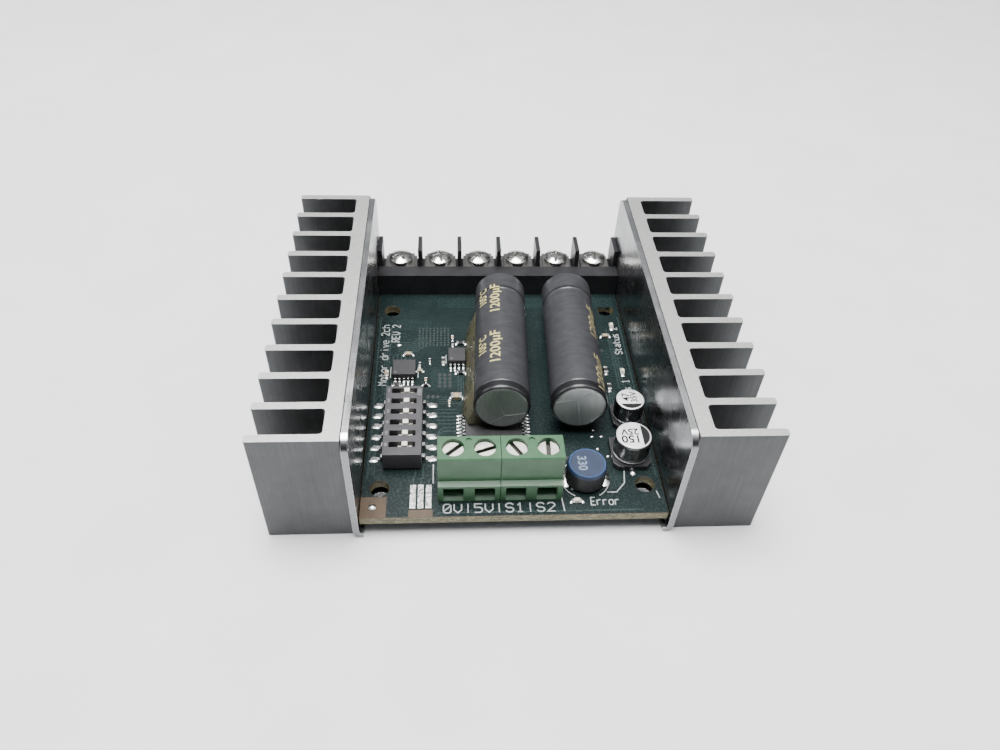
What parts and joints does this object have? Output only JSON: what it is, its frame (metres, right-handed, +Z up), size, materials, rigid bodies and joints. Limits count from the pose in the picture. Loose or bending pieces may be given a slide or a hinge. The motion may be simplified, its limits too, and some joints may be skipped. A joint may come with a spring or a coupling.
{
  "type": "servo drive",
  "caption": "Compact open-frame servo drive: a circuit board in a sheet-metal channel between finned heat sinks, with screw terminals front and back.",
  "frame": {"origin": "middle of the channel's underside, at the bottom centre of the bounding box", "axes": "+X across the two heat sinks, +Y from the signal terminals to the power terminals, +Z up out of the board"},
  "size_m": [0.08, 0.0676, 0.0228],
  "materials": {
    "channel_metal": "satin sheet, bright on its edges",
    "sink_metal": "satin extrusion",
    "bond": "dark cured adhesive",
    "board_mask": "glossy dark green solder mask",
    "pad_silicone": "matt silicone sheet",
    "black_moulding": "semi-gloss black moulding",
    "contact_metal": "tin-plated brass",
    "clamp_metal": "nickel-plated steel",
    "screw_metal": "nickel-plated steel",
    "terminal_screw_metal": "zinc-plated steel",
    "cage_metal": "zinc-plated steel",
    "green_moulding": "satin green moulding",
    "switch_moulding": "satin dark grey moulding",
    "slider_plastic": "off-white moulding",
    "lead_metal": "tinned",
    "can_metal": "drawn aluminium",
    "sleeve_film": "shrunk dark film",
    "seal_rubber": "matt rubber",
    "glue": "translucent olive-brown glue",
    "ferrite": "dark ferrite",
    "cover_blue": "blue cover",
    "chip_moulding": "matt black epoxy",
    "ceramic": "ceramic",
    "lamp_plastic": "clear epoxy over white"
  },
  "bodies": {
    "drive": {"chassis_channel": "channel_metal", "thermal_adhesive": "bond", "heat_sink_left": "sink_metal", "heat_sink_right": "sink_metal", "circuit_board": "board_mask", "power_transistors": "chip_moulding", "transistor_tabs": "lead_metal", "thermal_pad": "pad_silicone", "barrier_housing": "black_moulding", "barrier_contacts": "contact_metal", "terminal_block_left": "green_moulding", "terminal_block_right": "green_moulding", "terminal_contacts": "contact_metal", "dip_switch_body": "switch_moulding", "dip_switch_leads": "lead_metal", "capacitor_can_left": "can_metal", "capacitor_can_right": "can_metal", "capacitor_sleeve_left": "sleeve_film", "capacitor_sleeve_right": "sleeve_film", "capacitor_seals": "seal_rubber", "capacitor_leads": "lead_metal", "glue_bead": "glue", "inductor_core": "ferrite", "inductor_cover": "cover_blue", "small_capacitor_cans": "can_metal", "small_capacitor_bases": "black_moulding", "microcontroller": "chip_moulding", "driver_chips": "chip_moulding", "chip_leads": "lead_metal", "chip_passives": "ceramic", "indicator_lamps": "lamp_plastic"},
    "barrier_clamp_1": {"barrier_clamp_1": "clamp_metal"},
    "barrier_screw_1": {"barrier_screw_1": "screw_metal"},
    "barrier_clamp_2": {"barrier_clamp_2": "clamp_metal"},
    "barrier_screw_2": {"barrier_screw_2": "screw_metal"},
    "barrier_clamp_3": {"barrier_clamp_3": "clamp_metal"},
    "barrier_screw_3": {"barrier_screw_3": "screw_metal"},
    "barrier_clamp_4": {"barrier_clamp_4": "clamp_metal"},
    "barrier_screw_4": {"barrier_screw_4": "screw_metal"},
    "barrier_clamp_5": {"barrier_clamp_5": "clamp_metal"},
    "barrier_screw_5": {"barrier_screw_5": "screw_metal"},
    "barrier_clamp_6": {"barrier_clamp_6": "clamp_metal"},
    "barrier_screw_6": {"barrier_screw_6": "screw_metal"},
    "terminal_cage_1": {"terminal_cage_1": "cage_metal"},
    "terminal_screw_1": {"terminal_screw_1": "terminal_screw_metal"},
    "terminal_cage_2": {"terminal_cage_2": "cage_metal"},
    "terminal_screw_2": {"terminal_screw_2": "terminal_screw_metal"},
    "terminal_cage_3": {"terminal_cage_3": "cage_metal"},
    "terminal_screw_3": {"terminal_screw_3": "terminal_screw_metal"},
    "terminal_cage_4": {"terminal_cage_4": "cage_metal"},
    "terminal_screw_4": {"terminal_screw_4": "terminal_screw_metal"},
    "dip_slider_1": {"dip_slider_1": "slider_plastic"},
    "dip_slider_2": {"dip_slider_2": "slider_plastic"},
    "dip_slider_3": {"dip_slider_3": "slider_plastic"},
    "dip_slider_4": {"dip_slider_4": "slider_plastic"},
    "dip_slider_5": {"dip_slider_5": "slider_plastic"},
    "dip_slider_6": {"dip_slider_6": "slider_plastic"}
  },
  "joints": [
    {"name": "barrier_clamp_1_lift", "type": "slide", "parent": "drive", "child": "barrier_clamp_1", "axis": [0, 0, 1], "range_m": [0, 0.0018]},
    {"name": "barrier_screw_1_turn", "type": "hinge", "parent": "barrier_clamp_1", "child": "barrier_screw_1", "pos_m": [-0.02063, 0.0303, 0.0081], "axis": [0, 0, 1], "range_deg": [0, 1080]},
    {"name": "barrier_clamp_2_lift", "type": "slide", "parent": "drive", "child": "barrier_clamp_2", "axis": [0, 0, 1], "range_m": [0, 0.0018]},
    {"name": "barrier_screw_2_turn", "type": "hinge", "parent": "barrier_clamp_2", "child": "barrier_screw_2", "pos_m": [-0.01238, 0.0303, 0.0081], "axis": [0, 0, 1], "range_deg": [0, 1080]},
    {"name": "barrier_clamp_3_lift", "type": "slide", "parent": "drive", "child": "barrier_clamp_3", "axis": [0, 0, 1], "range_m": [0, 0.0018]},
    {"name": "barrier_screw_3_turn", "type": "hinge", "parent": "barrier_clamp_3", "child": "barrier_screw_3", "pos_m": [-0.00413, 0.0303, 0.0081], "axis": [0, 0, 1], "range_deg": [0, 1080]},
    {"name": "barrier_clamp_4_lift", "type": "slide", "parent": "drive", "child": "barrier_clamp_4", "axis": [0, 0, 1], "range_m": [0, 0.0018]},
    {"name": "barrier_screw_4_turn", "type": "hinge", "parent": "barrier_clamp_4", "child": "barrier_screw_4", "pos_m": [0.00413, 0.0303, 0.0081], "axis": [0, 0, 1], "range_deg": [0, 1080]},
    {"name": "barrier_clamp_5_lift", "type": "slide", "parent": "drive", "child": "barrier_clamp_5", "axis": [0, 0, 1], "range_m": [0, 0.0018]},
    {"name": "barrier_screw_5_turn", "type": "hinge", "parent": "barrier_clamp_5", "child": "barrier_screw_5", "pos_m": [0.01238, 0.0303, 0.0081], "axis": [0, 0, 1], "range_deg": [0, 1080]},
    {"name": "barrier_clamp_6_lift", "type": "slide", "parent": "drive", "child": "barrier_clamp_6", "axis": [0, 0, 1], "range_m": [0, 0.0018]},
    {"name": "barrier_screw_6_turn", "type": "hinge", "parent": "barrier_clamp_6", "child": "barrier_screw_6", "pos_m": [0.02063, 0.0303, 0.0081], "axis": [0, 0, 1], "range_deg": [0, 1080]},
    {"name": "terminal_screw_1_turn", "type": "hinge", "parent": "drive", "child": "terminal_screw_1", "pos_m": [-0.01003, -0.02655, 0.0121], "axis": [0, 0, 1], "range_deg": [-1440, 0]},
    {"name": "terminal_cage_1_lift", "type": "slide", "parent": "drive", "child": "terminal_cage_1", "axis": [0, 0, 1], "range_m": [0, 0.0018]},
    {"name": "terminal_screw_2_turn", "type": "hinge", "parent": "drive", "child": "terminal_screw_2", "pos_m": [-0.00495, -0.02655, 0.0121], "axis": [0, 0, 1], "range_deg": [-1440, 0]},
    {"name": "terminal_cage_2_lift", "type": "slide", "parent": "drive", "child": "terminal_cage_2", "axis": [0, 0, 1], "range_m": [0, 0.0018]},
    {"name": "terminal_screw_3_turn", "type": "hinge", "parent": "drive", "child": "terminal_screw_3", "pos_m": [0.00013, -0.02655, 0.0121], "axis": [0, 0, 1], "range_deg": [-1440, 0]},
    {"name": "terminal_cage_3_lift", "type": "slide", "parent": "drive", "child": "terminal_cage_3", "axis": [0, 0, 1], "range_m": [0, 0.0018]},
    {"name": "terminal_screw_4_turn", "type": "hinge", "parent": "drive", "child": "terminal_screw_4", "pos_m": [0.00521, -0.02655, 0.0121], "axis": [0, 0, 1], "range_deg": [-1440, 0]},
    {"name": "terminal_cage_4_lift", "type": "slide", "parent": "drive", "child": "terminal_cage_4", "axis": [0, 0, 1], "range_m": [0, 0.0018]},
    {"name": "dip_slider_1_slide", "type": "slide", "parent": "drive", "child": "dip_slider_1", "axis": [1, 0, 0], "range_m": [-0.001, 0]},
    {"name": "dip_slider_2_slide", "type": "slide", "parent": "drive", "child": "dip_slider_2", "axis": [1, 0, 0], "range_m": [-0.001, 0]},
    {"name": "dip_slider_3_slide", "type": "slide", "parent": "drive", "child": "dip_slider_3", "axis": [1, 0, 0], "range_m": [-0.001, 0]},
    {"name": "dip_slider_4_slide", "type": "slide", "parent": "drive", "child": "dip_slider_4", "axis": [1, 0, 0], "range_m": [-0.001, 0]},
    {"name": "dip_slider_5_slide", "type": "slide", "parent": "drive", "child": "dip_slider_5", "axis": [1, 0, 0], "range_m": [-0.001, 0]},
    {"name": "dip_slider_6_slide", "type": "slide", "parent": "drive", "child": "dip_slider_6", "axis": [1, 0, 0], "range_m": [-0.001, 0]}
  ],
  "couplings": [
    {"joint": "barrier_screw_1_turn", "follows": "barrier_clamp_1_lift", "rad_per_m": 10471},
    {"joint": "barrier_screw_2_turn", "follows": "barrier_clamp_2_lift", "rad_per_m": 10471},
    {"joint": "barrier_screw_3_turn", "follows": "barrier_clamp_3_lift", "rad_per_m": 10471},
    {"joint": "barrier_screw_4_turn", "follows": "barrier_clamp_4_lift", "rad_per_m": 10471},
    {"joint": "barrier_screw_5_turn", "follows": "barrier_clamp_5_lift", "rad_per_m": 10471},
    {"joint": "barrier_screw_6_turn", "follows": "barrier_clamp_6_lift", "rad_per_m": 10471},
    {"joint": "terminal_screw_1_turn", "follows": "terminal_cage_1_lift", "rad_per_m": -13961},
    {"joint": "terminal_screw_2_turn", "follows": "terminal_cage_2_lift", "rad_per_m": -13961},
    {"joint": "terminal_screw_3_turn", "follows": "terminal_cage_3_lift", "rad_per_m": -13961},
    {"joint": "terminal_screw_4_turn", "follows": "terminal_cage_4_lift", "rad_per_m": -13961}
  ]
}
